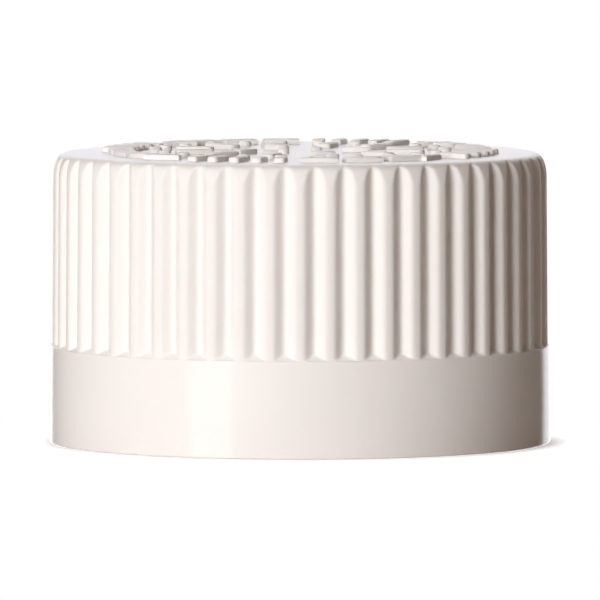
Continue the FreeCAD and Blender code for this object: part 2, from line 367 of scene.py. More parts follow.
def spread(piece, angle, count, whole=2 * math.pi):
    """Turn a mesh about the axis, and copy it round, so that there are count in all."""
    turn(piece, angle)
    edit(piece)
    repeat_round(count, whole)
    leave_edit()


def finish_piece(piece, body, nodes, material, smooth=40):
    """Give a finished mesh its shading, finish and body, in the place of its CAD nodes."""
    pick(piece)
    bpy.ops.object.shade_smooth_by_angle(angle=math.radians(smooth))
    piece.data.materials.clear()
    piece.data.materials.append(material)
    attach(piece, body)
    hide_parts(*nodes)
    bpy.ops.object.select_all(action="DESELECT")


# Finishes

# Roughness of the shell's band, ribs, top face and marks, and how much the grain adds
BAND_ROUGH, RIBS_ROUGH, TOP_ROUGH, MARKS_ROUGH, GRAIN_ROUGH = 0.09, 0.5, 0.3, 0.45, 0.06
POLYPROPYLENE_IOR, ACETAL_IOR, FOAM_IOR = 1.49, 1.48, 1.45


def add_node(tree, kind, links=(), **settings):
    """Add a node with its settings, and link or fill its sockets. Each link is the name of a
    socket, with its source or value."""
    node = tree.nodes.new(kind)
    for name, value in settings.items():
        setattr(node, name, value)
    for socket, source in links:
        if isinstance(source, bpy.types.NodeSocket):
            tree.links.new(source, node.inputs[socket])
        else:
            node.inputs[socket].default_value = source
    return node


def new_material(name):
    """A material with its node tree, and the place on the object."""
    material = bpy.data.materials.new(name)
    material.use_nodes = True
    tree = material.node_tree
    tree.nodes.clear()
    return material, tree, add_node(tree, "ShaderNodeTexCoord").outputs["Object"]


def ramp(tree, value, start, end, low=0.0, high=1.0, **settings):
    """A number that goes from low to high while the value goes from start to end."""
    return add_node(tree, "ShaderNodeMapRange", [
        ("Value", value), ("From Min", start), ("From Max", end),
        ("To Min", low), ("To Max", high)], **settings).outputs["Result"]


def between(tree, share, first, last, kind="FLOAT"):
    """The first number or colour where the share is 0, and the last where it is 1."""
    return add_node(tree, "ShaderNodeMix", [
        ("Factor", share), ("A", first), ("B", last)], data_type=kind).outputs["Result"]


def tinted(tree, share, base, first, last):
    """The base colour times the first number where the share is 0, and the last where it is 1."""
    ends = [(*(c * level for c in base), 1) for level in (first, last)]
    return between(tree, share, *ends, kind="RGBA")


def clouds(tree, place, size, detail, *links):
    """Noise in patches of about this size."""
    return add_node(tree, "ShaderNodeTexNoise", [
        ("Vector", place), ("Scale", 1 / size), ("Detail", detail), *links]).outputs["Fac"]


def bump(tree, height, strength, distance, *links):
    return add_node(tree, "ShaderNodeBump", [
        ("Height", height), ("Strength", strength), ("Distance", distance),
        *links]).outputs["Normal"]


def surface(tree, tint, rough, ior, *links):
    shader = add_node(tree, "ShaderNodeBsdfPrincipled", [
        ("Base Color", tint), ("Roughness", rough), ("IOR", ior), *links])
    add_node(tree, "ShaderNodeOutputMaterial", [("Surface", shader.outputs["BSDF"])])


def scatter(weight, radius, scale):
    """Light that goes a little way into the polymer."""
    return [("Subsurface Weight", weight), ("Subsurface Radius", radius),
            ("Subsurface Scale", scale)]


def shell_polypropylene(finishes, sizes):
    """Injection-moulded polypropylene copolymer with white pigment. The plain band comes from a
    polished mould and mirrors the lamps softly, the ribs from a satin one, and the raised marks
    are matt. The pigment scatters light a little way below the surface, which warms the shade."""
    material, tree, place = new_material("moulded_polypropylene_white")
    height = add_node(tree, "ShaderNodeSeparateXYZ", [("Vector", place)]).outputs["Z"]
    # 1 above the ledge and 0 on the band
    ribbed = ramp(tree, height, sizes.band_height - 0.02 * MM, sizes.band_height + 0.02 * MM)
    # 1 on the top face and the marks
    top = ramp(tree, height, TOP_FACE - 0.3 * MM, TOP_FACE - 0.05 * MM)
    marks = ramp(tree, height, TOP_FACE + 0.03 * MM, TOP_FACE + 0.12 * MM)
    # Cloudy pigment, in patches of about 5 mm
    pigment = clouds(tree, place, 5 * MM, 3.0, ("Roughness", 0.6))
    tint = tinted(tree, pigment, finishes.shell, 1, 0.965)
    # Satin grain of the mould, about 0.12 mm, drawn that coarse so that it shows
    grain = clouds(tree, place, 0.12 * MM, 2.0, ("Roughness", 0.7))
    rough = ramp(tree, ribbed, 0.0, 1.0, BAND_ROUGH, RIBS_ROUGH)
    rough = between(tree, top, rough, TOP_ROUGH)
    rough = between(tree, marks, rough, MARKS_ROUGH)
    rough = add_node(tree, "ShaderNodeMath", [
        (0, grain), (1, GRAIN_ROUGH), (2, rough)], operation="MULTIPLY_ADD").outputs["Value"]
    on_ribs = add_node(tree, "ShaderNodeMath", [
        (0, grain), (1, ribbed)], operation="MULTIPLY").outputs["Value"]
    grained = bump(tree, on_ribs, 0.25, 0.012 * MM)
    surface(tree, tint, rough, POLYPROPYLENE_IOR, ("Normal", grained),
            *scatter(0.15, (1.0, 0.62, 0.45), 0.35 * MM))
    return material


def inner_polypropylene(finishes):
    """Injection-moulded polypropylene from a machined, unpolished mould: an even satin white."""
    material, tree, place = new_material("moulded_polypropylene_satin")
    # Turning marks of the mould core, about 0.4 mm apart up the axis
    marks = add_node(tree, "ShaderNodeTexWave", [
        ("Vector", place), ("Scale", 1 / (1.2 * MM)), ("Distortion", 0.4), ("Detail", 1.0)],
        bands_direction="Z").outputs["Fac"]
    cloud = clouds(tree, place, 4 * MM, 2.0)
    tint = tinted(tree, cloud, finishes.inner, 1, 0.96)
    rough = ramp(tree, cloud, 0.0, 1.0, 0.36, 0.46)
    turned = bump(tree, marks, 0.12, 0.006 * MM)
    surface(tree, tint, rough, POLYPROPYLENE_IOR, ("Normal", turned),
            *scatter(0.15, (1.0, 0.65, 0.5), 0.35 * MM))
    return material


def spring_acetal(finishes):
    """Moulded acetal with no pigment: milky, a little glossy, and lighter where it is thin."""
    material, tree, place = new_material("moulded_acetal_natural")
    flow = clouds(tree, place, 1.5 * MM, 2.0, ("Distortion", 0.6))
    tint = tinted(tree, flow, finishes.spring, 1, 0.93)
    rough = ramp(tree, flow, 0.0, 1.0, 0.26, 0.36)
    surface(tree, tint, rough, ACETAL_IOR, *scatter(0.35, (1.0, 0.85, 0.7), 0.6 * MM))
    return material


def liner_foam(finishes):
    """Extruded polyethylene foam, punched from sheet: matt, with fine closed cells."""
    material, tree, place = new_material("extruded_polyethylene_foam")
    # Cells of about 0.3 mm
    cells = add_node(tree, "ShaderNodeTexVoronoi", [
        ("Vector", place), ("Scale", 1 / (0.3 * MM))]).outputs["Distance"]
    waves = clouds(tree, place, 2.5 * MM, 2.0)
    tint = tinted(tree, cells, finishes.liner, 0.93, 1)
    rough = ramp(tree, waves, 0.0, 1.0, 0.6, 0.75)
    fine = bump(tree, cells, 0.5, 0.03 * MM)
    broad = bump(tree, waves, 0.3, 0.05 * MM, ("Normal", fine))
    surface(tree, tint, rough, FOAM_IOR, ("Normal", broad))
    return material


# The ribbed shell

def rib_section(sizes):
    """Corners of a rib's section, as (across, outwards) from the middle of its crest: the crest
    with its rounded corners, straight flanks, and the rounded bottoms of the grooves, which run
    on a little past the middle of each groove."""
    half_pitch = math.pi / sizes.rib_count
    root = sizes.rib_foot_radius - sizes.rib_depth
    valley = (root * math.sin(half_pitch), root * math.cos(half_pitch))
    corner = (sizes.crest_width / 2, sizes.rib_foot_radius)
    slope = math.atan2(corner[1] - valley[1], valley[0] - corner[0])
    # Where the rounding leaves the crest, and its centre
    start = corner[0] - sizes.crest_radius * math.tan(slope / 2)
    centre = (start, corner[1] - sizes.crest_radius)
    steps = 8
    rounded = []
    for step in range(steps + 1):
        angle = slope * step / steps
        rounded.append((centre[0] + sizes.crest_radius * math.sin(angle),
                        centre[1] + sizes.crest_radius * math.cos(angle)))
    # The groove's rounding, whose centre is out on the middle line of the groove
    bend = slope - half_pitch
    off = sizes.groove_radius / math.cos(bend)
    hollow = (valley[0] + off * math.sin(half_pitch), valley[1] + off * math.cos(half_pitch))
    for step in range(steps + 1):
        angle = slope - bend * step / steps
        rounded.append((hollow[0] - sizes.groove_radius * math.sin(angle),
                        hollow[1] - sizes.groove_radius * math.cos(angle)))
    past, into_body = 0.3 * MM, 3 * MM
    bottom = rounded[-1]
    rounded.append((
        bottom[0] + past * math.cos(half_pitch), bottom[1] - past * math.sin(half_pitch)))
    rounded.append((rounded[-1][0], sizes.rib_foot_radius - into_body))
    return [*reversed(rounded), *((-across, out) for across, out in rounded)]


def crown_outline(sizes):
    """The curve that draws the ribs in, and the rounded corner into the top face, as radii and
    heights from the top of the straight ribs."""
    foot = TOP_FACE - sizes.crown_drop
    rib_top = sizes.rib_foot_radius - sizes.rib_draft
    wide, tight = sizes.crown_radius, sizes.corner
    turned = math.asin((sizes.crown_drop - tight) / (wide - tight))
    change = math.degrees(turned)
    tight_centre = (
        rib_top - wide + (wide - tight) * math.cos(turned),
        foot + (wide - tight) * math.sin(turned),
    )
    return [
        (rib_top, foot),
        *arc((rib_top - wide, foot), wide, 0, change, 20),
        *arc(tight_centre, tight, change, 90, 16),
    ]


def make_rib_pattern(sizes):
    """One rib at the front with solid flanks, cut to the crown above and to the slope below."""
    clear_selection()
    bpy.ops.mesh.primitive_circle_add(vertices=len(rib_section(sizes)), radius=MM, fill_type="NGON")
    rib = started("rib_pattern")
    edit(rib)
    spare, core, behind = 0.5 * MM, 10 * MM, 1.2 * MM
    low, high = sizes.band_height - spare, TOP_FACE + spare
    place_corners(rib, [(across, -outwards, low) for across, outwards in rib_section(sizes)])
    bpy.ops.mesh.select_all(action="SELECT")
    lean = sizes.rib_draft * (high - low) / (TOP_FACE - sizes.crown_drop - sizes.band_height)
    bpy.ops.mesh.extrude_region_move(TRANSFORM_OT_translate={"value": (0, lean, high - low)})
    settle()

    wedge = math.radians(24)
    top = TOP_FACE + 0.001 * MM
    outline = [
        (core, low - MM), (sizes.rib_foot_radius + MM, low - MM),
        (sizes.rib_foot_radius + MM, sizes.band_height - 0.2 * MM),
        (sizes.rib_foot_radius + 0.02 * MM, sizes.band_height),
        *crown_outline(sizes),
        (core, top),
    ]
    crown = turned_block("crown_blank", outline, wedge)
    combine(rib, crown, "INTERSECT")

    slope = sizes.rib_depth / sizes.groove_end
    inner = sizes.rib_foot_radius - behind
    slope_outline = [
        (inner, low), (sizes.rib_foot_radius, low), (sizes.rib_foot_radius, sizes.band_height),
        (inner, sizes.band_height + (sizes.rib_foot_radius - inner) / slope),
    ]
    ends = turned_block("groove_end_blank", slope_outline, wedge)
    combine(rib, ends, "UNION")
    return rib


def turned_block(name, outline, wedge, steps=24, start=None):
    """A wedge of a turned body, from a closed outline of radii and heights. It is centred on
    the front unless it is given a start."""
    if start is None:
        start = -math.pi / 2 - wedge / 2
    piece = lathe(name, [*outline, outline[0]], steps, wedge, start)
    close_up(piece)
    return piece


# Rows of the fine sheet over a groove's foot, the straight side, the crown and its corner
FOOT_ROWS, SIDE_ROWS, CROWN_ROWS, CORNER_ROWS = 9, 4, 15, 10
COLUMNS = 22
FOOT_REACH = 1.25  # height of the rows over the foot, in heights of the groove's slope
SHEET_WIDTH = 1.08  # width of the sheet before it is trimmed, in pitches of the ribs


def make_rib_sheet(sizes):
    """A fine sheet laid over the pattern from the front, and trimmed to one pitch."""
    pattern = make_rib_pattern(sizes)
    pitch = 2 * math.pi * sizes.rib_foot_radius / sizes.rib_count
    low, high = sizes.band_height, TOP_FACE - 0.02 * MM
    levels = (
        low, low + sizes.groove_end * FOOT_REACH, TOP_FACE - sizes.crown_drop - 0.1 * MM,
        TOP_FACE - 1.2 * sizes.corner, high)
    rises = []
    for start, end, rows in zip(
            levels, levels[1:], (FOOT_ROWS, SIDE_ROWS, CROWN_ROWS, CORNER_ROWS)):
        rises += [(end - start) / rows] * rows
    first = rises.pop(0)
    clear_selection()
    bpy.ops.mesh.primitive_grid_add(
        x_subdivisions=COLUMNS, y_subdivisions=1, size=1,
        location=(0, -sizes.rib_foot_radius - 2 * MM, low + first / 2),
        rotation=(math.pi / 2, 0, 0))
    sheet = started("ribbed_shell", (pitch * SHEET_WIDTH, 1, first))
    edit(sheet)
    at = low + first
    for rise in rises:
        choose(sheet, "edges", level_loop(at, 1e-7))
        bpy.ops.mesh.extrude_edges_move(TRANSFORM_OT_translate={"value": (0, 0, rise)})
        at += rise
    leave_edit()
    apply_modifier(
        sheet, "SHRINKWRAP", target=pattern, wrap_method="PROJECT",
        use_project_x=False, use_project_y=True, use_project_z=False,
        use_negative_direction=False, use_positive_direction=True)
    remove(pattern)
    edit(sheet)
    half_pitch = math.pi / sizes.rib_count
    for side in (-1, 1):
        bpy.ops.mesh.select_all(action="SELECT")
        bpy.ops.mesh.bisect(
            plane_co=(0, 0, 0), plane_no=(side * math.cos(half_pitch), math.sin(half_pitch), 0),
            clear_outer=True, threshold=1e-7)
    return sheet


class CLOSURE_OT_shell(bpy.types.Operator):
    """Model the ribbed outer shell with its bead, collar, lugs and raised marks"""
    bl_idname = "closure.shell"
    bl_label = "Ribbed shell"
    bl_options = {"REGISTER", "UNDO"}

    def execute(self, context):
        sizes = context.scene.closure_shell
        shell = make_rib_sheet(sizes)
        repeat_round(sizes.rib_count)
        bpy.ops.mesh.select_all(action="SELECT")
        bpy.ops.mesh.remove_doubles(threshold=2e-6)
        self.soften(shell, sizes)
        self.close_top(shell, sizes)
        self.turn_band_and_inside(shell, sizes)
        lugs = make_lugs(context.scene.closure_lugs, TOP_FACE - sizes.top_wall, -1, "drive_lugs")
        combine(shell, lugs, "UNION")
        marks = make_marks(context.scene.closure_marks)
        combine(shell, marks, "UNION")
        material = shell_polypropylene(context.scene.closure_finishes, sizes)
        finish_piece(shell, "shell", ["outer_shell"], material)
        return {"FINISHED"}

    def soften(self, shell, sizes):
        """Round the edges where the grooves meet the crown and their foot."""
        crown_low = TOP_FACE - sizes.crown_drop
        foot_high = sizes.band_height + sizes.groove_end * FOOT_REACH
        choose(shell, "vertices", lambda v: not v.is_boundary and (
            v.co.z > crown_low or v.co.z < foot_high))
        bpy.ops.mesh.vertices_smooth(factor=0.5, repeat=2)

    def close_top(self, shell, sizes):
        """Carry the rounded corner on to the flat of the top face, and fill that."""
        edge_height = max(v.co.z for v in bmesh.from_edit_mesh(shell.data).verts)
        choose(shell, "edges", level_loop(edge_height, 1e-7))
        edge = next(e for e in bmesh.from_edit_mesh(shell.data).edges if e.select)
        flat = crown_outline(sizes)[-1]
        draw_loops([flat], (radius_of(edge.verts[0].co), edge_height))
        bpy.ops.mesh.edge_face_add()

    def turn_band_and_inside(self, shell, sizes):
        """Turn the ledge, the band, the rim, the bead, the inside and the collar."""
        ledge, foot = sizes.band_height, sizes.rib_foot_radius
        band_top, band_foot = sizes.band_top_radius, SHELL_HIGH.x
        soft, rim = 0.05 * MM, sizes.rim_rounding
        inside, bead = sizes.inside_radius, sizes.bead_radius
        under = TOP_FACE - sizes.top_wall
        lug_tip = under - bpy.context.scene.closure_lugs.height
        collar, hole = sizes.collar_radius, sizes.collar_radius - sizes.collar_wall
        edge, fillet, collar_fillet = 0.12 * MM, 0.4 * MM, 0.25 * MM
        mouth_width, mouth_height = 0.15 * MM, 0.08 * MM
        places = [
            (band_top - soft, ledge), *arc((band_top - soft, ledge - soft), soft, 90, 0, 2),
            (band_foot, rim), *arc((band_foot - rim, rim), rim, 0, -90, 4),
            (inside + mouth_width, 0), (inside, mouth_height),
            (bead + edge, sizes.bead_foot - edge * 0.6),
            (bead, sizes.bead_foot + edge * 0.3), (bead, sizes.bead_height - edge * 0.6),
            (bead + edge * 0.6, sizes.bead_height), (inside - edge, sizes.bead_height),
            (inside, sizes.bead_height + edge),
            (inside, under - fillet),
            *arc((inside - fillet, under - fillet), fillet, 0, 90, 4),
            (collar + collar_fillet, under),
            *arc((collar + collar_fillet, under - collar_fillet), collar_fillet, 90, 180, 3),
            (collar, lug_tip + edge), *arc((collar - edge, lug_tip + edge), edge, 0, -90, 2),
            (hole + edge, lug_tip), *arc((hole + edge, lug_tip + edge), edge, -90, -180, 2),
            (hole, under),
        ]
        choose(shell, "edges", level_loop(ledge))
        draw_loops(places, (foot, ledge))
        close_up(shell)


def make_lugs(sizes, root, direction, name):
    """A ring of lugs from a root height, downwards or upwards, each upright on one side and
    sloped on the other."""
    side = -direction
    sunk = 0.15 * MM
    tip = root + direction * sizes.height
    middle_radius = sizes.ring_radius + sizes.reach / 2
    clear_selection()
    bpy.ops.mesh.primitive_cube_add(size=1, location=(
        middle_radius, side * sizes.ramp / 2, (tip + root - direction * sunk) / 2))
    lugs = started(name, (sizes.reach, sizes.land + sizes.ramp, abs(tip - root) + sunk))
    edit(lugs)
    choose(lugs, "vertices", lambda v: abs(v.co.z - tip) < 1e-6 and side * v.co.y > sizes.land / 2)
    bpy.ops.transform.translate(value=(0, -side * sizes.ramp, 0))
    # The slope ends at the wall that the lug stands on
    bpy.ops.mesh.select_all(action="SELECT")
    bpy.ops.mesh.bisect(plane_co=(0, 0, root), plane_no=(0, 0, 1), threshold=1e-7)
    for vertex in bmesh.from_edit_mesh(lugs.data).verts:
        if side * vertex.co.y > 0 and direction * (vertex.co.z - root) < 1e-6:
            vertex.co.y = side * (sizes.land / 2 + sizes.ramp)
    bmesh.update_edit_mesh(lugs.data)
    choose(lugs, "edges", lambda e: any(abs(v.co.z - tip) < 1e-6 for v in e.verts))
    bevel(sizes.rounding, 2)
    repeat_round(sizes.count)
    settle()
    return lugs


# Raised marks on the top: plain turning arrows, bars, spokes, dots and triangles

# How many there are of each, and degrees round the top face. Arrows and bars are the same in each
# quarter
QUARTERS = 4
DASHES, DASH_SWEEP, DASH_PITCH = 3, 11.5, 14
HEAD_SWEEP, HEAD_OVERLAP = 10.5, 0.6
HEAD_NARROWING = 0.86  # share of its width that an arrow's head loses up to its tip
BARS, FIRST_BAR, BAR_PITCH = 5, 57.25, 6.7
SPOKES, FIRST_SPOKE, FIRST_TRIANGLE = 12, 15, 20
# Radius of a ring and of one of the marks in it, in mm, and how many it has
OUTER_DOTS, INNER_DOTS, TRIANGLES = (9.9, 0.45, 24), (1.6, 0.4, 4), (4.1, 1.1, 4)


def make_marks(sizes):
    sunk = 0.2 * MM
    low, high = TOP_FACE - sunk, TOP_FACE + sizes.relief
    marks = make_turn_arrows(sizes, low, high)
    bars = make_bar(sizes, low, high, sizes.ring_radius, sizes.bar_width, sizes.ring_width)
    spread(bars, math.radians(FIRST_BAR), BARS, math.radians(BAR_PITCH * BARS))
    spread(bars, 0, QUARTERS)
    spokes = make_bar(sizes, low, high, sizes.spoke_radius, sizes.spoke_width, sizes.spoke_length)
    spread(spokes, math.radians(FIRST_SPOKE), SPOKES)
    others = [
        bars, spokes,
        make_dots(sizes, low, high, *OUTER_DOTS),
        make_triangles(sizes, low, high, *TRIANGLES),
        make_dots(sizes, low, high, *INNER_DOTS),
    ]
    clear_selection()
    for piece in (*others, marks):
        piece.select_set(True)
    bpy.context.view_layer.objects.active = marks
    bpy.ops.object.join()
    return marks


def round_upper_edges(piece, sizes, high):
    """Round the edges of the upper faces."""
    choose(piece, "edges", lambda e: all(abs(v.co.z - high) < 1e-7 for v in e.verts) and any(
        abs(f.normal.z) < 0.7 for f in e.link_faces))
    bevel(sizes.rounding, 2)


def make_turn_arrows(sizes, low, high):
    """Arrows with a broken shaft, which point the way that the cap opens."""
    radius = sizes.ring_radius
    arrows = bent_bar(
        "raised_marks", low, high, radius, sizes.shaft_width, math.radians(DASH_SWEEP), 4)
    edit(arrows)
    round_upper_edges(arrows, sizes, high)
    repeat_round(DASHES, math.radians(DASH_PITCH * DASHES))
    leave_edit()
    sweep = math.radians(HEAD_SWEEP)
    head = bent_bar("arrow_head", low, high, radius, sizes.ring_width, sweep, 6)
    for vertex in head.data.vertices:
        turned = math.atan2(vertex.co.y, vertex.co.x)
        wanted = radius + (radius_of(vertex.co) - radius) * (
            1 - HEAD_NARROWING * turned / sweep)
        vertex.co.x, vertex.co.y = polar((wanted, 0), turned).xy
    edit(head)
    round_upper_edges(head, sizes, high)
    leave_edit()
    end_of_shaft = DASH_PITCH * (DASHES - 1) + DASH_SWEEP
    turn(head, math.radians(end_of_shaft - HEAD_OVERLAP))
    combine(arrows, head, "UNION")
    spread(arrows, 0, QUARTERS)
    return arrows


def bent_bar(name, low, high, radius, width, sweep, steps):
    """A bar of rectangular section that runs round the axis from +X."""
    outline = [
        (radius - width / 2, low), (radius + width / 2, low),
        (radius + width / 2, high), (radius - width / 2, high),
    ]
    return turned_block(name, outline, sweep, steps, start=0)


def make_bar(sizes, low, high, radius, width, reach):
    """A bar with rounded corners that points at the axis, on +X."""
    clear_selection()
    bpy.ops.mesh.primitive_cube_add(size=1, location=(radius, 0, (low + high) / 2))
    bar = started("bars", (reach, width, high - low))
    edit(bar)
    choose(bar, "edges", is_upright)
    bevel(width * 0.3, 3)
    round_upper_edges(bar, sizes, high)
    leave_edit()
    return bar


def make_dots(sizes, low, high, ring, radius, count):
    clear_selection()
    bpy.ops.mesh.primitive_cylinder_add(
        vertices=20, radius=radius * MM, depth=high - low,
        location=(ring * MM, 0, (low + high) / 2))
    dots = started("dots")
    edit(dots)
    round_upper_edges(dots, sizes, high)
    leave_edit()
    spread(dots, math.pi / count, count)
    return dots


def make_triangles(sizes, low, high, ring, radius, count):
    """Plain triangles that point at the axis."""
    clear_selection()
    bpy.ops.mesh.primitive_cylinder_add(
        vertices=3, radius=radius * MM, depth=high - low,
        location=(ring * MM, 0, (low + high) / 2), rotation=(0, 0, math.pi / 2))
    arrows = started("triangles")
    edit(arrows)
    choose(arrows, "edges", is_upright)
    bevel(0.15 * MM, 2)
    round_upper_edges(arrows, sizes, high)
    leave_edit()
    spread(arrows, math.radians(FIRST_TRIANGLE), count)
    return arrows


# The inner cap

STEPS_IN_A_TURN, FADING_STEPS = 72, 4  # of the thread ridge


def turn_from_disc(name, steps, rim, places):
    """A body drawn out of a flat disc, from its rim through radii and heights, and closed."""
    clear_selection()
    bpy.ops.mesh.primitive_circle_add(
        vertices=steps, radius=rim[0], fill_type="NGON", location=(0, 0, rim[1]))
    piece = started(name)
    edit(piece)
    choose(piece, "edges", is_open)
    draw_loops(places, rim)
    close_up(piece)
    return piece


class CLOSURE_OT_inner_cap(bpy.types.Operator):
    """Model the threaded inner cap with its teeth and thread ridge"""
    bl_idname = "closure.inner_cap"
    bl_label = "Threaded inner cap"
    bl_options = {"REGISTER", "UNDO"}

    def execute(self, context):
        sizes = context.scene.closure_inner
        lugs = context.scene.closure_lugs
        top = INNER_HIGH.z - lugs.height
        cap = self.turn_walls(sizes, top)
        teeth = make_lugs(lugs, top, 1, "teeth")
        turn(teeth, math.pi / lugs.count)
        combine(cap, teeth, "UNION")
        combine(cap, self.make_thread(sizes), "UNION")
        material = inner_polypropylene(context.scene.closure_finishes)
        finish_piece(cap, "inner", ["inner_cap"], material)
        return {"FINISHED"}

    def turn_walls(self, sizes, top):
        side = INNER_HIGH.x - sizes.flange_width
        flange, foot = INNER_HIGH.x, INNER_LOW.z
        flange_top = foot + sizes.flange_height
        bore, seat = sizes.bore_radius, sizes.bore_radius + sizes.liner_seat
        liner_low, liner_high = LINER_LOW.z, LINER_HIGH.z
        soft, mouth = 0.12 * MM, 0.5 * MM
        return turn_from_disc("threaded_inner_cap", 192, (side - sizes.shoulder, top), [
            *arc((side - sizes.shoulder, top - sizes.shoulder), sizes.shoulder, 90, 0, 6),
            (side, flange_top + soft), *arc((side + soft, flange_top + soft), soft, 180, 270, 2),
            (flange - soft, flange_top), *arc((flange - soft, flange_top - soft), soft, 90, 0, 2),
            (flange, foot + soft), *arc((flange - soft, foot + soft), soft, 0, -90, 2),
            (bore + mouth, foot), *arc((bore + mouth, foot + mouth), mouth, -90, -180, 4),
            (bore, liner_low - soft), (bore + soft, liner_low), (seat, liner_low),
            (seat, liner_high - soft), (seat - soft, liner_high),
        ])

    def make_thread(self, sizes):
        """A rounded ridge that winds up the bore to the right and fades out at both ends."""
        base, crest, sunk = 2.5 * MM, 0.9 * MM, 0.25 * MM
        outer, inner = sizes.bore_radius + sunk, sizes.bore_radius - sizes.thread_reach
        at = sizes.thread_start
        crest_low, crest_high = at + (base - crest) / 2, at + (base + crest) / 2
        # The crest's corners are cut off
        cut, below, above = 0.15 * MM, 0.12 * MM, 0.1 * MM
        section = [
            (outer, at), (outer - sunk, at), (inner + cut, crest_low - below),
            (inner, crest_low + above), (inner, crest_high - above),
            (inner + cut, crest_high + below), (outer - sunk, at + base), (outer, at + base),
        ]
        clear_selection()
        bpy.ops.mesh.primitive_circle_add(vertices=len(section), radius=MM, fill_type="NOTHING")
        ridge = started("thread_ridge")
        edit(ridge)
        place_corners(ridge, [(radius, 0, height) for radius, height in section])
        leave_edit()
        steps = round(STEPS_IN_A_TURN * sizes.thread_turns)
        apply_modifier(
            ridge, "SCREW", angle=2 * math.pi * sizes.thread_turns,
            screw_offset=sizes.thread_pitch * sizes.thread_turns, steps=steps, render_steps=steps,
            axis="Z", use_smooth_shade=False)
        self.fade_ends(ridge, sizes, steps, len(section))
        edit(ridge)
        close_up(ridge)
        return ridge

    def fade_ends(self, ridge, sizes, steps, corners):
        """Sink the ridge into the wall over the last 20 degrees at each end."""
        wall = sizes.bore_radius + 0.12 * MM
        for vertex in ridge.data.vertices:
            radius = radius_of(vertex.co)
            if radius > sizes.bore_radius + 0.1 * MM:
                continue
            step = vertex.index // corners
            share = min(1, step / FADING_STEPS, (steps - step) / FADING_STEPS)
            wanted = wall - (wall - radius) * math.sin(share * math.pi / 2)
            vertex.co.x *= wanted / radius
            vertex.co.y *= wanted / radius


class CLOSURE_OT_liner(bpy.types.Operator):
    """Model the foam sealing disc"""
    bl_idname = "closure.liner"
    bl_label = "Foam liner"
    bl_options = {"REGISTER", "UNDO"}

    def execute(self, context):
        radius, low, high = LINER_HIGH.x, LINER_LOW.z, LINER_HIGH.z
        soft, waist = 0.1 * MM, 0.03 * MM
        bulge, bulge_width, lip_width = 0.015 * MM, 1.6 * MM, 4 * MM
        # The punch leaves a rounded upper edge, and the pinched lower one bulges a little
        liner = turn_from_disc("foam_liner", 160, (radius - soft, high), [
            *arc((radius - soft, high - soft), soft, 90, 0, 3),
            (radius - waist, (low + high) / 2),
            (radius, low + soft), *arc((radius - soft, low + soft), soft, 0, -90, 3),
            (radius - bulge_width, low + bulge), (radius - lip_width, low),
        ])
        material = liner_foam(context.scene.closure_finishes)
        finish_piece(liner, "inner", ["liner"], material)
        return {"FINISHED"}


class CLOSURE_OT_spring(bpy.types.Operator):
    """Model the star spring between the shell and the inner cap"""
    bl_idname = "closure.spring"
    bl_label = "Star spring"
    bl_options = {"REGISTER", "UNDO"}

    def execute(self, context):
        sizes = context.scene.closure_spring
        high, low, thick = SPRING_HIGH.z, SPRING_LOW.z, sizes.thickness
        spring = turned_ring("star_spring_hub", [
            (sizes.hole_radius, high - thick), (sizes.hub_radius, high - thick),
            (sizes.hub_radius, high), (sizes.hole_radius, high)], 96)
        edit(spring)
        choose(spring, "edges", lambda e: is_level(e) and abs(
            radius_of(e.verts[0].co) - radius_of(e.verts[1].co)) < 1e-6)
        bpy.ops.mesh.bevel(offset=0.1 * MM, segments=2, affect="EDGES")
        leave_edit()
        combine(spring, self.make_fingers(sizes, high, low, thick), "UNION")
        spring.name = "star_spring_part"
        material = spring_acetal(context.scene.closure_finishes)
        finish_piece(spring, "spring", ["star_spring"], material)
        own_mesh(spring)
        return {"FINISHED"}

    def make_fingers(self, sizes, high, low, thick):
        """Fingers that leave the ring level, bend down and end in a flat foot."""
        reach = SPRING_HIGH.x
        overlap, level = 0.9 * MM, 0.3 * MM
        start, bend = sizes.hub_radius - overlap, sizes.hub_radius + level
        foot = reach - sizes.finger_foot
        width = sizes.finger_width
        clear_selection()
        bpy.ops.mesh.primitive_cube_add(size=1, location=((start + bend) / 2, 0, high - thick / 2))
        fingers = started("spring_fingers", (bend - start, width, thick))
        edit(fingers)
        drop = high - thick - low
        choose(fingers, "faces", lambda f: middle(f).x > bend - 1e-6)
        bpy.ops.mesh.extrude_region_move(TRANSFORM_OT_translate={"value": (foot - bend, 0, -drop)})
        bpy.ops.mesh.extrude_region_move(TRANSFORM_OT_translate={"value": (reach - foot, 0, 0)})
        # The two bends become curves
        choose(fingers, "edges", lambda e: abs(e.verts[0].co.x - e.verts[1].co.x) < 1e-7 and (
            is_level(e) and bend - 1e-5 < e.verts[0].co.x < foot + 1e-5))
        bevel(0.6 * MM, 5)
        # The tip's corners are rounded
        choose(fingers, "edges", lambda e: is_upright(e) and all(
            abs(v.co.x - reach) < 1e-6 for v in e.verts))
        bevel(0.5 * MM, 4)
        repeat_round(sizes.fingers)
        settle()
        return fingers


def turned_ring(name, outline, steps):
    """A ring turned from a closed outline of radii and heights."""
    piece = lathe(name, [*outline, outline[0]], steps)
    settle()
    return piece


# The stage

# Each lamp's azimuth and elevation in degrees, its distance and size in metres, its radiance and
# colour, and whether gloss mirrors it. Azimuth 0 is at the camera, and negative is to its left.
# The main light is low and from the left. The strip shows in the gloss of the band. The back and
# the top have a softer light of their own, which hardly reaches the front.
LAMPS = (
    ("key_lamp", -27, 11, 1.68, (0.76, 0.76), 14.8, "#FCFDFF", False),
    ("strip_lamp", -41, 4, 0.42, (0.15, 0.42), 2.1, "#FFFFFF", True),
    ("back_lamp", 174, 13, 0.5, (0.36, 0.3), 7.6, "#FBFDFF", False),
)
WHITE = (1, 1, 1, 1)
FLOOR_RADIUS = 3
FLOOR_GAP = 0.02 * MM  # below the rim, so that the two don't share a plane
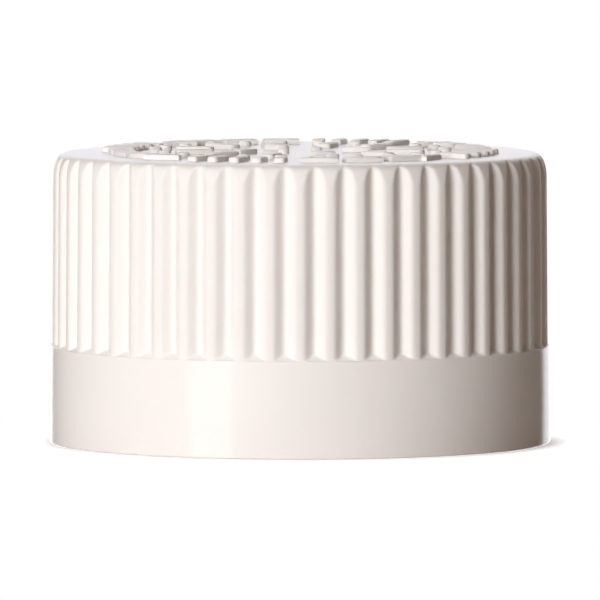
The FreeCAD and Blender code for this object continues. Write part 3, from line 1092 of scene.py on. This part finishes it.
# Distances from the axis, in mm, over which the floor changes, and its tints and glows. Under the
# cap it glows, a painted glow that lights the cap's inside for views from below. Round the foot the
# glow is lowered, a painted contact shadow on top of the real one, and further out the card fades
# into plain white
UNDER_FADE, PAINTED_SHADOW_FADE, CARD_FADE = (16.7, 17), (17, 18.5), (18, 27)
PAINTED_UNDER_GLOW, PAINTED_SHADOW_GLOW, CARD_GLOW = 0.85, 0.35, 0.76
DULL_CARD, PALE_CARD = (0.58, 0.51, 0.45, 1), (0.9, 0.9, 0.9, 1)
# The backdrop in the gloss: how far to the right it stands and half its width at the edge and
# where it is full, in degrees, its strength and tint, and that of the room in the gloss
BACKDROP_ANGLES, BACKDROP_STRENGTH = (5, 27, 21), 1.6
BACKDROP, MIRRORED_ROOM = (1.0, 1.0, 1.08, 1), (0.14, 0.13, 0.12, 1)
# The light of the room above the horizon and below it
ROOM, BELOW_ROOM = (0.09, 0.058, 0.041, 1), (0.8, 0.8, 0.8, 1)


def glow(tree, strength):
    return add_node(tree, "ShaderNodeEmission", [
        ("Color", WHITE), ("Strength", strength)]).outputs["Emission"]


def background(tree, tint, strength):
    return add_node(tree, "ShaderNodeBackground", [
        ("Color", tint), ("Strength", strength)]).outputs["Background"]


def mixed(tree, share, first, last):
    """The first shader where the share is 0, and the last where it is 1."""
    return add_node(tree, "ShaderNodeMixShader", [
        (0, share), (1, first), (2, last)]).outputs["Shader"]


def glowing_card(tree, tint, away, span, start, end):
    """A dull card of this tint, whose glow goes from start to end over a span of distances."""
    dull = add_node(tree, "ShaderNodeBsdfDiffuse", [("Color", tint)]).outputs["BSDF"]
    strength = ramp(tree, away, span[0] * MM, span[1] * MM, start, end)
    return add_node(tree, "ShaderNodeAddShader", [
        (0, dull), (1, glow(tree, strength))]).outputs["Shader"]


class CLOSURE_OT_stage(bpy.types.Operator):
    """Set up the floor, the lamps, the background and the camera"""
    bl_idname = "closure.stage"
    bl_label = "Stage"
    bl_options = {"REGISTER", "UNDO"}

    def execute(self, context):
        sizes = context.scene.closure_stage
        self.lay_floor()
        self.light_world(context.scene)
        aim = Vector((0, 0, sizes.aim_height))
        for lamp in LAMPS:
            self.add_lamp(aim, *lamp)
        back = Vector((0, -math.cos(sizes.elevation), math.sin(sizes.elevation)))
        camera = bpy.data.objects.new("camera", bpy.data.cameras.new("camera"))
        context.scene.collection.objects.link(camera)
        camera.location = aim + back * sizes.distance
        camera.rotation_mode = "QUATERNION"
        camera.rotation_quaternion = (-back).to_track_quat("-Z", "Y")
        camera.data.sensor_width = 36
        camera.data.lens = sizes.lens
        camera.data.clip_start, camera.data.clip_end = 0.01, 20
        context.scene.camera = camera
        context.scene.view_settings.view_transform = "Standard"
        return {"FINISHED"}

    def lay_floor(self):
        clear_selection()
        bpy.ops.mesh.primitive_circle_add(
            vertices=96, radius=FLOOR_RADIUS, fill_type="NGON", location=(0, 0, -FLOOR_GAP))
        floor = started("floor")
        material, tree, place = new_material("white_card_floor")
        seen = add_node(tree, "ShaderNodeLightPath").outputs["Is Camera Ray"]
        below = add_node(tree, "ShaderNodeNewGeometry").outputs["Backfacing"]
        away = add_node(
            tree, "ShaderNodeVectorMath", [(0, place)], operation="LENGTH").outputs["Value"]
        # What lights the cap is a warm, dull card, and the camera sees a pale one
        # Under the cap the card has a painted glow, which stands in for a lamp and lights the
        # inside from below
        card = glowing_card(tree, DULL_CARD, away, UNDER_FADE, PAINTED_UNDER_GLOW, 0.0)
        # The card that the camera sees glows less round the foot, which paints a contact shadow
        # there
        near = glowing_card(tree, PALE_CARD, away, PAINTED_SHADOW_FADE, PAINTED_SHADOW_GLOW, CARD_GLOW)
        fade = ramp(
            tree, away, *(edge * MM for edge in CARD_FADE), interpolation_type="SMOOTHSTEP")
        shown = mixed(tree, fade, near, glow(tree, 1.0))
        # From below, the card lets the light and the view through
        clear = add_node(tree, "ShaderNodeBsdfTransparent").outputs["BSDF"]
        whole = mixed(tree, below, mixed(tree, seen, card, shown), clear)
        add_node(tree, "ShaderNodeOutputMaterial", [("Surface", whole)])
        floor.data.materials.append(material)
        floor.visible_glossy = False

    def light_world(self, scene):
        world = bpy.data.worlds.new("studio")
        scene.world = world
        world.use_nodes = True
        tree = world.node_tree
        tree.nodes.clear()
        seen = add_node(tree, "ShaderNodeLightPath")
        direct = add_node(tree, "ShaderNodeMath", [
            (0, seen.outputs["Is Camera Ray"]), (1, seen.outputs["Is Transmission Ray"])],
            operation="MAXIMUM").outputs["Value"]
        # Gloss mirrors a white backdrop behind the cap, a little to its right, in a dim room
        way = add_node(tree, "ShaderNodeTexCoord").outputs["Generated"]
        level = add_node(tree, "ShaderNodeVectorMath", [
            (0, way), (1, (1, 1, 0))], operation="MULTIPLY").outputs["Vector"]
        flat = add_node(
            tree, "ShaderNodeVectorMath", [(0, level)], operation="NORMALIZE").outputs["Vector"]
        right, edge, full = (math.radians(angle) for angle in BACKDROP_ANGLES)
        facing = add_node(tree, "ShaderNodeVectorMath", [
            (0, flat), (1, (math.sin(right), math.cos(right), 0))],
            operation="DOT_PRODUCT").outputs["Value"]
        behind = ramp(tree, facing, math.cos(edge), math.cos(full))
        mirror = between(tree, behind, MIRRORED_ROOM, BACKDROP, kind="RGBA")
        # The room is dim and warm. What reaches below the floor in a pose is lit from there
        height = add_node(tree, "ShaderNodeSeparateXYZ", [("Vector", way)]).outputs["Z"]
        below = ramp(tree, height, -0.02, 0.0, 1.0, 0.0)
        around = between(tree, below, ROOM, BELOW_ROOM, kind="RGBA")
        soft = mixed(tree, seen.outputs["Is Glossy Ray"],
                     background(tree, around, 1.0), background(tree, mirror, BACKDROP_STRENGTH))
        whole = mixed(tree, direct, soft, background(tree, WHITE, 1.0))
        add_node(tree, "ShaderNodeOutputWorld", [("Surface", whole)])

    def add_lamp(self, aim, name, azimuth, elevation, distance, size, radiance, code, mirrored):
        """An area lamp from its line in LAMPS, turned to the point that it aims at."""
        a, e = math.radians(azimuth), math.radians(elevation)
        away = Vector((math.sin(a) * math.cos(e), -math.cos(a) * math.cos(e), math.sin(e)))
        data = bpy.data.lights.new(name, "AREA")
        data.shape = "RECTANGLE"
        data.size, data.size_y = size
        data.color = from_hex(code)
        data.energy = radiance * math.pi * size[0] * size[1]
        lamp = bpy.data.objects.new(name, data)
        bpy.context.scene.collection.objects.link(lamp)
        lamp.location = aim + away * distance
        lamp.rotation_mode = "QUATERNION"
        lamp.rotation_quaternion = (-away).to_track_quat("-Z", "Y")
        lamp.visible_camera = False
        lamp.visible_glossy = mirrored


class CLOSURE_PT_panel(bpy.types.Panel):
    """Lists the closure's pieces"""
    bl_idname = "CLOSURE_PT_panel"
    bl_label = "Closure"
    bl_space_type = "VIEW_3D"
    bl_region_type = "UI"
    bl_category = "Closure"

    def draw(self, context):
        layout = self.layout
        for operator, group in STEPS:
            layout.operator(operator)
            settings = getattr(context.scene, group)
            for name in settings.__annotations__:
                layout.prop(settings, name)


STEPS = (
    ("closure.shell", "closure_shell"),
    ("closure.inner_cap", "closure_inner"),
    ("closure.liner", "closure_finishes"),
    ("closure.spring", "closure_spring"),
    ("closure.stage", "closure_stage"),
)

GROUPS = (
    ("closure_shell", ShellSizes),
    ("closure_lugs", LugSizes),
    ("closure_marks", MarkSizes),
    ("closure_inner", InnerCapSizes),
    ("closure_spring", SpringSizes),
    ("closure_finishes", Finishes),
    ("closure_stage", StageSizes),
)

CLASSES = (
    CLOSURE_OT_shell,
    CLOSURE_OT_inner_cap,
    CLOSURE_OT_liner,
    CLOSURE_OT_spring,
    CLOSURE_OT_stage,
    CLOSURE_PT_panel,
)


def register():
    for name, group in GROUPS:
        bpy.utils.register_class(group)
        setattr(bpy.types.Scene, name, bpy.props.PointerProperty(type=group))
    for item in CLASSES:
        bpy.utils.register_class(item)


def unregister():
    for item in reversed(CLASSES):
        bpy.utils.unregister_class(item)
    for name, group in reversed(GROUPS):
        delattr(bpy.types.Scene, name)
        bpy.utils.unregister_class(group)


def main():
    register()
    bpy.ops.closure.shell()
    bpy.ops.closure.inner_cap()
    bpy.ops.closure.liner()
    bpy.ops.closure.spring()
    bpy.ops.closure.stage()


if __name__ == "__main__":
    main()
